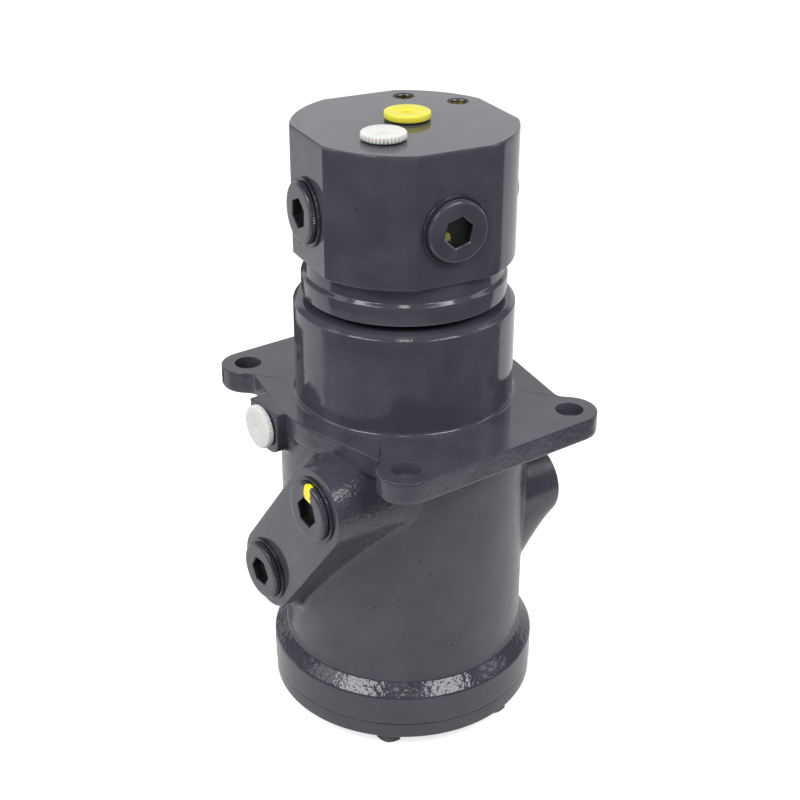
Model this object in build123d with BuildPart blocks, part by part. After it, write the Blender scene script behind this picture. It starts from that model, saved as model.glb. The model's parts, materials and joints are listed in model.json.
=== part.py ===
"""Hydraulic rotary union: the six-passage centre swivel joint of a tracked excavator.

The housing is bolted by its flange and stands still. The spindle turns in its bore and hands
four high-pressure lines, one pilot line and one drain line across the joint, each through an
annular groove between two slipper seals. Millimetres, +Z up the spindle axis, origin on that
axis at the flange's top face.
"""
import math
import os

from build123d import *

# --- fits and clearances -------------------------------------------------------------------
running_clearance = 0.06      # radial, spindle journal in the housing bore
seal_clearance = 0.1          # radial, slipper seals and wiper lip around the journal
thread_clearance = 0.06       # radial, screwed plugs and bolts in their threads
cap_clearance = 0.25          # radial, push-in plastic caps in their ports
washer_clearance = 0.3        # radial, loose rings around what they sit on
axial_play = 0.2              # between each thrust washer and the thrust plate
port_gap = 0.3                # free depth behind a plug or a seal

# --- spindle -------------------------------------------------------------------------------
journal_radius = 50.0
shoulder_overhang = 15.5      # shoulder past the journal
shoulder_height = 14.0
shoulder_chamfer = 2.2
shoulder_gap = 4.6            # collar top to shoulder underside
neck_step = 2.1               # neck below the shoulder
neck_height = 10.5
head_flat_overhang = 15.5     # each of the four flats past the journal
head_corner = 4.4             # turned corners past the flats
head_height = 82.5
head_edge = 1.0               # bevel round the head's top and bottom
head_turn = -10.0             # degrees from +X to the first flat's normal
journal_lead_in = 1.5

# --- passages ------------------------------------------------------------------------------
main_passages = 4
pilot_level = -13.0           # height of the uppermost groove
seal_to_ledge = 36.0          # lowest slipper seal to the thrust bore
main_gallery_radius = 8.0     # long drillings in the spindle
main_gallery_inset = 21.0     # their axes inside the journal's surface
small_gallery_radius = 5.0
cross_drill_radius = 7.0
small_drill_radius = 4.0
main_groove_width = 13.0
main_groove_depth = 7.5
small_groove_width = 9.0
small_groove_depth = 4.0
head_port_height = 35.0       # port centre above the head's underside
pilot_port_orbit = 39.0
drain_port_orbit = 5.0
gallery_overrun = 6.0         # drill point below the cross drilling

# --- ports and their plugs -----------------------------------------------------------------
port_radius = 16.63           # G1 thread, major diameter 33.25
port_depth = 19.0
plug_collar_radius = 19.3
plug_collar_height = 4.0
plug_edge = 0.7
plug_shank_length = 15.5
plug_socket_flats = 17.0
plug_socket_depth = 9.0
bonded_seal_radius = 21.5
bonded_seal_thickness = 2.0
small_port_radius = 10.48     # G1/2 thread, major diameter 20.96
small_port_depth = 15.0
cap_stem_length = 11.0
cap_stem_wall = 2.0
cap_height = 5.2
cap_edge = 0.8
cap_slot_length = 9.0         # moulded slot for a screwdriver
cap_slot_width = 2.6
cap_slot_depth = 1.6
drain_cap_radius = 14.4
pilot_cap_radius = 13.9
gallery_plug_radius = 9.5
gallery_plug_length = 10.0

# --- tapped holes in the head's top --------------------------------------------------------
tapped_radius = 6.0           # M12
tapped_depth = 22.0
tapped_spacing = 36.0
tapped_orbit = 52.0           # axis to the middle of the pair
tapped_countersink = 7.2

# --- housing -------------------------------------------------------------------------------
collar_wall = 21.0            # journal to the collar's outside
collar_height = 67.0
collar_chamfer = 3.0
collar_root_fillet = 3.0
plate_thickness = 15.0
bolt_spacing_x = 130.0
bolt_spacing_y = 180.0
bolt_hole_radius = 9.0
ear_radius = 18.0
plate_waist_rim = 3.5         # plate past the barrel at its waist
plate_flank_angle = 12.5      # degrees, straight flanks between waist and ears
ear_root_fillet = 8.0
barrel_wall = 32.0            # journal to the barrel's outside
foot_rim = 9.0                # foot past the barrel
foot_height = 21.0
foot_slope = 1.9
foot_root_fillet = 3.0
foot_edge = 2.0
housing_depth = 208.5         # flange face to the cover joint
thrust_bore_gap = 3.0         # radial, around the thrust plate
thrust_bore_depth = 22.0

# --- port pads and bosses on the housing ---------------------------------------------------
pad_radius = 27.0
pad_draft = 2.5
left_pad_rise = 18.5          # face of the pad past the barrel
left_pad_offsets = {1: -43.5, 4: 16.0}      # passage level: offset along Y
right_pad_rise = 12.0
right_pad_offsets = {3: -28.0, 2: 31.0}
pad_reach = 75.0              # pads run this far in from their faces
pilot_boss_rise = 9.5
pilot_boss_offset = 28.0
pilot_boss_width = 32.0
pilot_boss_height = 29.5
pilot_boss_corner = 9.0
drain_boss_rise = 7.0
drain_boss_offset = 12.0
drain_boss_radius = 17.0
boss_reach = 30.0

# --- seals and guide rings -----------------------------------------------------------------
seal_groove_width = 6.4
slipper_thickness = 2.6
slipper_width = 6.0
backing_thickness = 4.0
backing_width = 5.0
guide_ring_width = 12.0
guide_ring_thickness = 2.5
guide_ring_inset = 14.0       # from each end of the bore's plain length
wiper_seat = 8.0              # radial room of the wiper around the journal
wiper_height = 8.0
wiper_lip_rise = 1.8
wiper_lip_width = 2.4

# --- thrust plate, cover and fasteners -----------------------------------------------------
thrust_washer_thickness = 3.0
thrust_washer_gap = 0.3       # washers inside the thrust bore
thrust_plate_rim = 13.0       # thrust plate past the journal
thrust_plate_thickness = 12.0
plate_screw_radius = 4.0      # M8 countersunk
plate_screw_head_radius = 8.0
plate_screw_length = 25.0
plate_screw_key = 5.0
plate_screw_key_depth = 2.5
plate_screw_orbit = 40.0
cover_inset = 0.4             # cover inside the foot's edge
cover_thickness = 11.5
cover_edge = 1.0
cover_spigot_clearance = 0.1
cover_bolts_count = 6
cover_bolt_inset = 12.0       # bolt circle outside the thrust bore
cover_bolt_turn = -13.0       # degrees from +X to one of the bolts
cover_bolt_radius = 5.0       # M10
cover_bolt_hole_radius = 5.5
cover_bolt_length = 30.0
cover_bolt_flats = 16.0
cover_bolt_head_height = 6.4
cover_washer_radius = 9.0
cover_washer_thickness = 2.0
cover_seal_inset = 1.6        # face seal's groove outside the thrust bore
cover_seal_width = 3.2
cover_seal_depth = 2.4

# --- places worked out from the above ------------------------------------------------------
bore_radius = journal_radius + running_clearance
wiper_radius = journal_radius + wiper_seat
shoulder_radius = journal_radius + shoulder_overhang
neck_radius = shoulder_radius - neck_step
head_flat_distance = journal_radius + head_flat_overhang
head_radius = head_flat_distance + head_corner
collar_radius = journal_radius + collar_wall
barrel_radius = journal_radius + barrel_wall
foot_radius = barrel_radius + foot_rim
plate_waist_radius = barrel_radius + plate_waist_rim
left_pad_distance = barrel_radius + left_pad_rise
right_pad_distance = barrel_radius + right_pad_rise
pilot_boss_distance = barrel_radius + pilot_boss_rise
drain_boss_distance = barrel_radius + drain_boss_rise
main_gallery_orbit = journal_radius - main_gallery_inset
thrust_plate_radius = journal_radius + thrust_plate_rim
thrust_bore_radius = thrust_plate_radius + thrust_bore_gap
cover_radius = foot_radius - cover_inset
cover_bolt_orbit = thrust_bore_radius + cover_bolt_inset
cover_seal_radius = thrust_bore_radius + cover_seal_inset
shoulder_z = collar_height + shoulder_gap
neck_z = shoulder_z + shoulder_height
head_z = neck_z + neck_height
head_top_z = head_z + head_height
port_z = head_z + head_port_height
ledge_z = -housing_depth + thrust_bore_depth
plate_top_z = ledge_z - thrust_washer_thickness - axial_play
plate_bottom_z = plate_top_z - thrust_plate_thickness
spigot_z = plate_bottom_z - axial_play - thrust_washer_thickness
cover_bottom_z = -housing_depth - cover_thickness

main_levels = range(1, main_passages + 1)
drain_index = main_passages + 1
seal_run = housing_depth - thrust_bore_depth - seal_to_ledge
passage_pitch = (seal_run + pilot_level) / (drain_index + 0.5)
level_z = {i: pilot_level - i * passage_pitch for i in range(drain_index + 1)}
drain_level = level_z[drain_index]
seal_levels = [level_z[i] + passage_pitch / 2 for i in level_z] + [drain_level - passage_pitch / 2]
seal_groove_radius = (
    journal_radius + seal_clearance + slipper_thickness + backing_thickness
)
guide_levels = {
    "upper": collar_height - wiper_height - guide_ring_inset,
    "lower": ledge_z + guide_ring_inset,
}
guide_groove_radius = journal_radius + seal_clearance + guide_ring_thickness
flat_turns = [head_turn + 360 / main_passages * i for i in range(main_passages)]
diagonal_turn = head_turn + 45.0
small_groove_radius = bore_radius + small_groove_depth
main_groove_radius = bore_radius + main_groove_depth


def outward(turn, distance, height):
    """Plane square to the direction `turn` degrees from +X, its normal pointing away from the axis."""
    angle = math.radians(turn)
    normal = Vector(math.cos(angle), math.sin(angle), 0)
    origin = normal * distance + Vector(0, 0, height)
    return Plane(origin=origin, x_dir=(-math.sin(angle), math.cos(angle), 0), z_dir=normal)


def side_plane(side, distance, offset, height):
    """Plane on the -X (side -1) or +X (side 1) face of the housing, facing outward."""
    return Plane(origin=(side * distance, offset, height), x_dir=(0, side, 0), z_dir=(side, 0, 0))


def on_axis(turn, orbit):
    """Point at radius `orbit`, `turn` degrees from +X."""
    angle = math.radians(turn)
    return orbit * math.cos(angle), orbit * math.sin(angle)


def round_off(corner, radius):
    """Round the corner of the current sketch that lies at this point."""
    fillet(vertices().sort_by_distance((*corner, 0))[0], radius=radius)


def reach_to(groove_radius, distance, offset):
    """Depth of a drilling from a side face at `distance` that opens into a bore groove."""
    return distance - math.sqrt(groove_radius**2 - offset**2) + cross_drill_radius / 2


def bored(radius, low, high):
    """Half section of a bore about the Z axis."""
    with Locations((radius / 2, (low + high) / 2)):
        Rectangle(radius, high - low)


def groove(radius, z, width):
    """Half section of a groove turned in the bore, centred on height z."""
    bored(radius, z - width / 2, z + width / 2)


def drill(plane, radius, depth):
    """Cut a round hole into the current part, down from the plane."""
    with Locations(plane):
        Hole(radius, depth)


def ring(inner, outer, low, high):
    """Plain ring about the Z axis, added to the current part."""
    with BuildSketch(Plane.XZ) as section:
        with Locations(((inner + outer) / 2, (low + high) / 2)):
            Rectangle(outer - inner, high - low)
    revolve(section.sketch, axis=Axis.Z)


def save(piece, label):
    """Label a finished sub-part and write it as its own STEP file."""
    piece.part.label = label
    export_step(piece.part, f"parts/{label}.step")


pads = (
    (-1, left_pad_distance, left_pad_offsets),
    (1, right_pad_distance, right_pad_offsets),
)
main_ports = [
    (side_plane(side, distance, offset, level_z[level]), distance, offset)
    for side, distance, offsets in pads
    for level, offset in offsets.items()
]
small_ports = [
    (side_plane(side, distance, offset, level), distance, offset)
    for side, distance, offset, level in (
        (-1, pilot_boss_distance, pilot_boss_offset, pilot_level),
        (1, drain_boss_distance, drain_boss_offset, drain_level),
    )
]
tapped_swing = math.degrees(math.atan2(tapped_spacing / 2, tapped_orbit))
tapped_points = [
    on_axis(diagonal_turn + swing, math.hypot(tapped_orbit, tapped_spacing / 2))
    for swing in (-tapped_swing, tapped_swing)
]
plate_screw_points = [on_axis(turn + 45, plate_screw_orbit) for turn in flat_turns]

os.makedirs("parts", exist_ok=True)

# --- housing: turned body, flange plate, port pads, bored through ---------------------------
foot_top_z = -housing_depth + foot_height
ear_y = bolt_spacing_y / 2
waist_x, waist_y = on_axis(plate_flank_angle, plate_waist_radius)
flank_x = waist_x - (ear_y - waist_y) * math.tan(math.radians(plate_flank_angle))
cover_bolt_reach = cover_bolt_length - cover_thickness - cover_washer_thickness

with BuildPart() as housing:
    with BuildSketch(Plane.XZ):
        with BuildLine():
            Polyline(
                (0, collar_height),
                (collar_radius - collar_chamfer, collar_height),
                (collar_radius, collar_height - collar_chamfer),
                (collar_radius, 0),
                (plate_waist_radius - foot_edge, 0),
                (plate_waist_radius - foot_edge, -plate_thickness / 2),
                (barrel_radius, -plate_thickness / 2),
                (barrel_radius, foot_top_z + foot_slope),
                (foot_radius, foot_top_z),
                (foot_radius, -housing_depth),
                (0, -housing_depth),
                close=True,
            )
        make_face()
        round_off((collar_radius, 0), collar_root_fillet)
        round_off((barrel_radius, foot_top_z + foot_slope), foot_root_fillet)
        round_off((foot_radius, foot_top_z), foot_edge)
    revolve(axis=Axis.Z)
    with BuildSketch():
        Circle(plate_waist_radius)
        with BuildLine():
            flank = [(waist_x, waist_y), (flank_x, ear_y), (-flank_x, ear_y), (-waist_x, waist_y)]
            Polyline(*flank, *[(x, -y) for x, y in reversed(flank)], close=True)
        make_face()
        with Locations((0, ear_y), (0, -ear_y)):
            SlotCenterToCenter(bolt_spacing_x, 2 * ear_radius)
        ear_roots = [v for v in vertices() if ear_y - ear_radius < abs(v.Y) < ear_y]
        fillet(ear_roots, radius=ear_root_fillet)
        with GridLocations(bolt_spacing_x, bolt_spacing_y, 2, 2):
            Circle(bolt_hole_radius, mode=Mode.SUBTRACT)
    extrude(amount=-plate_thickness)

    # the port pads: slots round each pair of ports, drafted in towards the barrel
    for side, distance, offsets in pads:
        (first, first_y), (last, last_y) = offsets.items()
        rise = level_z[last] - level_z[first]
        run = side * (last_y - first_y)
        middle = (side * (first_y + last_y) / 2, (level_z[first] + level_z[last]) / 2)
        face = side_plane(side, distance, 0, 0)
        root = side_plane(side, distance - pad_reach, 0, 0)
        span = math.hypot(rise, run)
        tilt = math.degrees(math.atan2(rise, run))
        spread = 2 * pad_reach * math.tan(math.radians(pad_draft))
        with BuildSketch(face):
            with Locations(middle):
                SlotCenterToCenter(span, 2 * pad_radius, rotation=tilt)
        with BuildSketch(root):
            with Locations(middle):
                SlotCenterToCenter(span, 2 * pad_radius + spread, rotation=tilt)
        loft()

    # square boss of the pilot port, flush with the flange face, and round boss of the drain port
    with BuildSketch(side_plane(-1, pilot_boss_distance, pilot_boss_offset, 0)):
        with Locations((0, -pilot_boss_height / 2)):
            Rectangle(pilot_boss_width, pilot_boss_height)
        lower_corners = vertices().group_by(Axis.Y)[0]
        fillet(lower_corners, radius=pilot_boss_corner)
    extrude(amount=-boss_reach)
    with BuildSketch(side_plane(1, drain_boss_distance, drain_boss_offset, drain_level)):
        Circle(drain_boss_radius)
    extrude(amount=-boss_reach)

    # bore, oil grooves, seal and guide ring grooves, wiper seat and thrust bore
    with BuildSketch(Plane.XZ):
        bored(bore_radius, -housing_depth, collar_height)
        bored(thrust_bore_radius, -housing_depth, ledge_z)
        bored(wiper_radius, collar_height - wiper_height, collar_height)
        for level in main_levels:
            groove(main_groove_radius, level_z[level], main_groove_width)
        for level in (0, drain_index):
            groove(small_groove_radius, level_z[level], small_groove_width)
        for z in seal_levels:
            groove(seal_groove_radius, z, seal_groove_width)
        for z in guide_levels.values():
            groove(guide_groove_radius, z, guide_ring_width + 2 * port_gap)
    revolve(axis=Axis.Z, mode=Mode.SUBTRACT)

    # ports: thread for the plug, then a drilling through to the passage's groove
    for plane, distance, offset in main_ports:
        drill(plane, port_radius, port_depth)
        drill(plane, cross_drill_radius, reach_to(main_groove_radius, distance, offset))
    for plane, distance, offset in small_ports:
        drill(plane, small_port_radius, small_port_depth)
        drill(plane, small_drill_radius, reach_to(small_groove_radius, distance, offset))
    with BuildSketch(Plane.XY.offset(-housing_depth)):
        with PolarLocations(cover_bolt_orbit, cover_bolts_count, start_angle=cover_bolt_turn):
            Circle(cover_bolt_radius)
    extrude(amount=cover_bolt_reach + port_gap, mode=Mode.SUBTRACT)
save(housing, "housing")

# --- spindle: journal, shoulder, neck and four-flat head ------------------------------------
with BuildPart() as spindle:
    with BuildSketch(Plane.XZ):
        with BuildLine():
            Polyline(
                (0, plate_top_z),
                (journal_radius - journal_lead_in, plate_top_z),
                (journal_radius, plate_top_z + journal_lead_in),
                (journal_radius, shoulder_z),
                (shoulder_radius, shoulder_z),
                (shoulder_radius, neck_z - shoulder_chamfer),
                (shoulder_radius - shoulder_chamfer, neck_z),
                (neck_radius, neck_z),
                (neck_radius, head_z + head_edge),
                (0, head_z + head_edge),
                close=True,
            )
        make_face()
    revolve(axis=Axis.Z)
    with BuildSketch(Plane.XY.offset(head_z)):
        Circle(head_radius)
        Rectangle(
            2 * head_flat_distance,
            2 * head_flat_distance,
            rotation=head_turn,
            mode=Mode.INTERSECT,
        )
    extrude(amount=head_height)
    head_rims = faces().sort_by(Axis.Z)[-1].edges() + faces().filter_by(Plane.XY).filter_by(
        lambda f: abs(f.center().Z - head_z) < 0.01
    )[0].outer_wire().edges()
    chamfer(head_rims, length=head_edge)

    # main passages: head port, cross drilling, long gallery from the foot, outlet at its groove
    for level, turn in zip(main_levels, flat_turns):
        port = outward(turn, head_flat_distance, port_z)
        outlet = outward(turn, journal_radius, level_z[level])
        foot = Plane(origin=(*on_axis(turn, main_gallery_orbit), plate_top_z), z_dir=(0, 0, -1))
        drill(port, port_radius, port_depth)
        drill(port, cross_drill_radius, head_flat_distance - main_gallery_orbit)
        drill(outlet, cross_drill_radius, journal_radius - main_gallery_orbit)
        drill(foot, main_gallery_radius, port_z + gallery_overrun - plate_top_z)
        drill(foot, gallery_plug_radius, gallery_plug_length + port_gap)

    # pilot and drain passages: port in the head's top, gallery down, outlet at its groove
    for turn, orbit, level, outlet_turn in (
        (diagonal_turn + 180, pilot_port_orbit, 0, diagonal_turn + 180),
        (diagonal_turn, drain_port_orbit, drain_index, diagonal_turn),
    ):
        mouth = Plane(origin=(*on_axis(turn, orbit), head_top_z))
        outlet = outward(outlet_turn, journal_radius, level_z[level])
        drill(mouth, small_port_radius, small_port_depth)
        drill(mouth, small_gallery_radius, head_top_z - level_z[level] + gallery_overrun)
        drill(outlet, small_drill_radius, journal_radius - orbit)

    # tapped holes in the head's top, and those for the thrust plate's screws
    with Locations([Plane(origin=(x, y, head_top_z)) for x, y in tapped_points]):
        CounterSinkHole(tapped_radius, tapped_countersink, tapped_depth, counter_sink_angle=90)
    with Locations([Plane(origin=(x, y, plate_top_z), z_dir=(0, 0, -1)) for x, y in plate_screw_points]):
        Hole(plate_screw_radius, plate_screw_length - thrust_plate_thickness + port_gap)
save(spindle, "spindle")

# --- seals and guide rings in the housing bore ----------------------------------------------
seal_inside = journal_radius + seal_clearance
for number, level in enumerate(seal_levels, start=1):
    with BuildPart() as slipper_seal:
        ring(
            seal_inside,
            seal_inside + slipper_thickness,
            level - slipper_width / 2,
            level + slipper_width / 2,
        )
    save(slipper_seal, f"slipper_seal_{number}")
    with BuildPart() as backing_ring:
        ring(
            seal_inside + slipper_thickness,
            seal_groove_radius,
            level - backing_width / 2,
            level + backing_width / 2,
        )
    save(backing_ring, f"seal_backing_ring_{number}")

for name, level in guide_levels.items():
    with BuildPart() as guide_ring:
        ring(
            seal_inside,
            guide_groove_radius,
            level - guide_ring_width / 2,
            level + guide_ring_width / 2,
        )
    save(guide_ring, f"{name}_guide_ring")

with BuildPart() as wiper_seal:
    with BuildSketch(Plane.XZ):
        with BuildLine():
            lip_root = seal_inside + wiper_lip_width
            Polyline(
                (wiper_radius, collar_height - wiper_height),
                (wiper_radius, collar_height),
                (lip_root + wiper_lip_width, collar_height),
                (lip_root, collar_height - wiper_lip_width),
                (seal_inside + wiper_lip_width / 4, collar_height + wiper_lip_rise),
                (seal_inside, collar_height + wiper_lip_rise / 2),
                (seal_inside + wiper_lip_width / 4, collar_height - wiper_lip_width),
                (seal_inside + wiper_lip_width / 4, collar_height - wiper_height),
                close=True,
            )
        make_face()
    revolve(axis=Axis.Z)
save(wiper_seal, "wiper_seal")

# --- thrust plate between its two washers ---------------------------------------------------
with BuildPart() as upper_thrust_washer:
    ring(
        bore_radius + washer_clearance,
        thrust_bore_radius - thrust_washer_gap,
        ledge_z - thrust_washer_thickness,
        ledge_z,
    )
save(upper_thrust_washer, "upper_thrust_washer")

with BuildPart() as lower_thrust_washer:
    ring(
        journal_radius,
        thrust_bore_radius - thrust_washer_gap,
        spigot_z,
        spigot_z + thrust_washer_thickness,
    )
save(lower_thrust_washer, "lower_thrust_washer")

with BuildPart() as thrust_plate:
    with BuildSketch(Plane.XY.offset(plate_bottom_z)):
        Circle(thrust_plate_radius)
    extrude(amount=thrust_plate_thickness)
    with Locations([Plane(origin=(x, y, plate_bottom_z), z_dir=(0, 0, -1)) for x, y in plate_screw_points]):
        CounterSinkHole(
            plate_screw_radius + washer_clearance,
            plate_screw_head_radius + washer_clearance,
            counter_sink_angle=90,
        )
save(thrust_plate, "thrust_plate")

with BuildPart() as thrust_plate_screws:
    shank_radius = plate_screw_radius - thread_clearance
    head_cone = plate_screw_head_radius - shank_radius
    for x, y in plate_screw_points:
        with BuildSketch(Plane(origin=(x, y, plate_bottom_z))):
            Circle(plate_screw_head_radius)
        extrude(amount=head_cone, taper=45)
        with BuildSketch(Plane(origin=(x, y, plate_bottom_z))):
            Circle(shank_radius)
        extrude(amount=plate_screw_length)
        with BuildSketch(Plane(origin=(x, y, plate_bottom_z))):
            RegularPolygon(plate_screw_key / 2, 6, major_radius=False)
        extrude(amount=plate_screw_key_depth, mode=Mode.SUBTRACT)
save(thrust_plate_screws, "thrust_plate_screws")

with BuildPart() as gallery_plugs:
    for turn in flat_turns:
        with BuildSketch(Plane(origin=(*on_axis(turn, main_gallery_orbit), plate_top_z))):
            Circle(gallery_plug_radius - thread_clearance)
        extrude(amount=gallery_plug_length)
save(gallery_plugs, "gallery_plugs")

# --- bottom cover with its face seal and bolts ----------------------------------------------
with BuildPart() as bottom_cover:
    with BuildSketch(Plane.XZ):
        spigot_radius = thrust_bore_radius - cover_spigot_clearance
        with BuildLine():
            Polyline(
                (0, spigot_z),
                (spigot_radius, spigot_z),
                (spigot_radius, -housing_depth),
                (cover_seal_radius, -housing_depth),
                (cover_seal_radius, -housing_depth - cover_seal_depth),
                (cover_seal_radius + cover_seal_width, -housing_depth - cover_seal_depth),
                (cover_seal_radius + cover_seal_width, -housing_depth),
                (cover_radius, -housing_depth),
                (cover_radius, cover_bottom_z + cover_edge),
                (cover_radius - cover_edge, cover_bottom_z),
                (0, cover_bottom_z),
                close=True,
            )
        make_face()
    revolve(axis=Axis.Z)
    with BuildSketch(Plane.XY.offset(cover_bottom_z)):
        with PolarLocations(cover_bolt_orbit, cover_bolts_count, start_angle=cover_bolt_turn):
            Circle(cover_bolt_hole_radius)
    extrude(amount=cover_thickness, mode=Mode.SUBTRACT)
save(bottom_cover, "bottom_cover")

with BuildPart() as cover_seal:
    ring(
        cover_seal_radius + cap_clearance,
        cover_seal_radius + cover_seal_width - cap_clearance,
        -housing_depth - cover_seal_depth,
        -housing_depth,
    )
save(cover_seal, "cover_seal_ring")

with BuildPart() as cover_washers:
    with BuildSketch(Plane.XY.offset(cover_bottom_z)):
        with PolarLocations(cover_bolt_orbit, cover_bolts_count, start_angle=cover_bolt_turn):
            Circle(cover_washer_radius)
            Circle(cover_bolt_radius + washer_clearance, mode=Mode.SUBTRACT)
    extrude(amount=-cover_washer_thickness)
save(cover_washers, "cover_bolt_washers")

with BuildPart() as cover_bolts:
    seat = Plane.XY.offset(cover_bottom_z - cover_washer_thickness)
    with BuildSketch(seat):
        with PolarLocations(cover_bolt_orbit, cover_bolts_count, start_angle=cover_bolt_turn):
            RegularPolygon(cover_bolt_flats / 2, 6, major_radius=False)
    extrude(amount=-cover_bolt_head_height)
    with BuildSketch(seat):
        with PolarLocations(cover_bolt_orbit, cover_bolts_count, start_angle=cover_bolt_turn):
            Circle(cover_bolt_radius - thread_clearance)
    extrude(amount=cover_bolt_length)
save(cover_bolts, "cover_bolts")

# --- port plugs: hexagon-socket screw plugs on bonded seals ---------------------------------
plugged_ports = {
    f"head_port_{i}": outward(turn, head_flat_distance, port_z)
    for i, turn in zip(main_levels, flat_turns)
}
for i, (plane, _, _) in zip(main_levels, main_ports):
    plugged_ports[f"housing_port_{i}"] = plane
for name, mouth in plugged_ports.items():
    with BuildPart() as bonded_seal:
        with BuildSketch(mouth):
            Circle(bonded_seal_radius)
            Circle(port_radius + washer_clearance, mode=Mode.SUBTRACT)
        extrude(amount=bonded_seal_thickness)
    save(bonded_seal, f"{name}_seal")
    collar_seat = mouth.offset(bonded_seal_thickness)
    plug_face = collar_seat.offset(plug_collar_height)
    with BuildPart() as plug:
        with BuildSketch(collar_seat):
            Circle(plug_collar_radius)
        extrude(amount=plug_collar_height)
        front_rim = edges().sort_by(Axis(mouth.origin, mouth.z_dir))[-1]
        chamfer(front_rim, length=plug_edge)
        with BuildSketch(collar_seat):
            Circle(port_radius - thread_clearance)
        extrude(amount=-plug_shank_length)
        with BuildSketch(plug_face):
            RegularPolygon(plug_socket_flats / 2, 6, major_radius=False)
        extrude(amount=-plug_socket_depth, mode=Mode.SUBTRACT)
    save(plug, f"{name}_plug")

# --- plastic caps pushed into the pilot and drain ports -------------------------------------
pilot_mouth = Plane(origin=(*on_axis(diagonal_turn + 180, pilot_port_orbit), head_top_z))
drain_mouth = Plane(origin=(*on_axis(diagonal_turn, drain_port_orbit), head_top_z))
caps = {
    "pilot_top_cap": (pilot_mouth, pilot_cap_radius),
    "drain_top_cap": (drain_mouth, drain_cap_radius),
    "pilot_side_cap": (small_ports[0][0], drain_cap_radius),
    "drain_side_cap": (small_ports[1][0], drain_cap_radius),
}
for name, (mouth, radius) in caps.items():
    with BuildPart() as cap:
        with BuildSketch(mouth):
            Circle(radius)
        extrude(amount=cap_height)
        top_rim = edges().sort_by(Axis(mouth.origin, mouth.z_dir))[-1]
        chamfer(top_rim, length=cap_edge)
        with BuildSketch(mouth.offset(cap_height)):
            SlotOverall(cap_slot_length, cap_slot_width)
        extrude(amount=-cap_slot_depth, mode=Mode.SUBTRACT)
        with BuildSketch(mouth):
            Circle(small_port_radius - cap_clearance)
            Circle(small_port_radius - cap_clearance - cap_stem_wall, mode=Mode.SUBTRACT)
        extrude(amount=-cap_stem_length)
    save(cap, name)
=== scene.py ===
import json
import math

import bmesh
import bpy
import numpy as np
from mathutils import Matrix, Vector


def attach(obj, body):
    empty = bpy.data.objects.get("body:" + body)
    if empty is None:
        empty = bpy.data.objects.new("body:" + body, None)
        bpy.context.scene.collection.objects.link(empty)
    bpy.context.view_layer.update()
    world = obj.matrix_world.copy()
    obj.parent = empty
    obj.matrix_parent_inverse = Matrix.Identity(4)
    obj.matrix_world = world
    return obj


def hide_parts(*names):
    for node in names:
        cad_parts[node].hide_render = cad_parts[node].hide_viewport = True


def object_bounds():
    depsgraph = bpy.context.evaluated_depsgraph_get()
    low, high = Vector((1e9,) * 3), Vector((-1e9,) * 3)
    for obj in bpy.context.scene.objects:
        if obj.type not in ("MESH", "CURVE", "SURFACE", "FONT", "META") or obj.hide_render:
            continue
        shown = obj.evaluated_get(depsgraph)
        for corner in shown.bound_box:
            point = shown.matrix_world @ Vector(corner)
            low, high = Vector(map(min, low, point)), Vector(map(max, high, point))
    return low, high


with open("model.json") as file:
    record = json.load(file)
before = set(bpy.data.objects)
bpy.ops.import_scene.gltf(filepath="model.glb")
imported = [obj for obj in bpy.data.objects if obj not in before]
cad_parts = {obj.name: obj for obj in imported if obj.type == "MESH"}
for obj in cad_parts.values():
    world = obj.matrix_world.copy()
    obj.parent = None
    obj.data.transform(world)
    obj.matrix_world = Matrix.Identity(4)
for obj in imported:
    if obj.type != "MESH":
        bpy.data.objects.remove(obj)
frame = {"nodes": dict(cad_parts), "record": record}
cad_box = [list(corner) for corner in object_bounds()]
nodes = frame["nodes"]
MM = 0.001

# ==== materials ====


def polar(turn, orbit, height=0.0):
    """Point at a radius and height, turn degrees from +X."""
    return np.array([orbit * math.cos(math.radians(turn)), orbit * math.sin(math.radians(turn)), height])


def linear(code, alpha=1.0):
    """Linear RGBA of an sRGB hex colour."""
    srgb = np.array([int(code[i:i + 2], 16) for i in (1, 3, 5)]) / 255.0
    value = np.where(srgb <= 0.04045, srgb / 12.92, ((srgb + 0.055) / 1.055) ** 2.4)
    return (*value, alpha)


def put(owner, kind, inputs=None, links=None, **properties):
    """Adds a shader node to a material or the world, sets its properties and inputs, and joins other
    nodes' outputs to it."""
    made = owner.node_tree.nodes.new(kind)
    for name, value in properties.items():
        setattr(made, name, value)
    for name, value in (inputs or {}).items():
        made.inputs[name].default_value = value
    for name, source in (links or {}).items():
        owner.node_tree.links.new(source, made.inputs[name])
    return made


def begin(name):
    """An empty material, and its points in millimetres."""
    material = bpy.data.materials.new(name)
    material.use_nodes = True
    material.node_tree.nodes.clear()
    place = put(material, "ShaderNodeTexCoord").outputs["Object"]
    points = put(material, "ShaderNodeVectorMath", {"Scale": 1 / MM}, {0: place}, operation="SCALE")
    return material, points.outputs[0]


def finish_material(material, surface):
    """Joins the surface shader to the material's output."""
    put(material, "ShaderNodeOutputMaterial", links={"Surface": surface.outputs[0]})
    return material


def clouded(material, points, light, dark, size, detail, low=0.3):
    """Two colours that drift into each other in clouds of a size in mm: the clouds and the colour."""
    clouds = put(material, "ShaderNodeTexNoise", {"Scale": 1 / size, "Detail": detail}, {"Vector": points})
    share = put(material, "ShaderNodeMapRange", {"From Min": low, "From Max": 1 - low},
                {"Value": clouds.outputs[0]})
    tint = put(material, "ShaderNodeMix", {"A": linear(dark), "B": linear(light)},
               {"Factor": share.outputs[0]}, data_type="RGBA")
    return clouds.outputs[0], tint.outputs["Result"]


def uneven(material, pattern, roughness, low, high):
    """Roughness that follows a pattern, from low to high times its mean."""
    return put(material, "ShaderNodeMapRange",
               {"From Min": 0.3, "From Max": 0.7, "To Min": roughness * low, "To Max": roughness * high},
               {"Value": pattern}).outputs[0]


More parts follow.
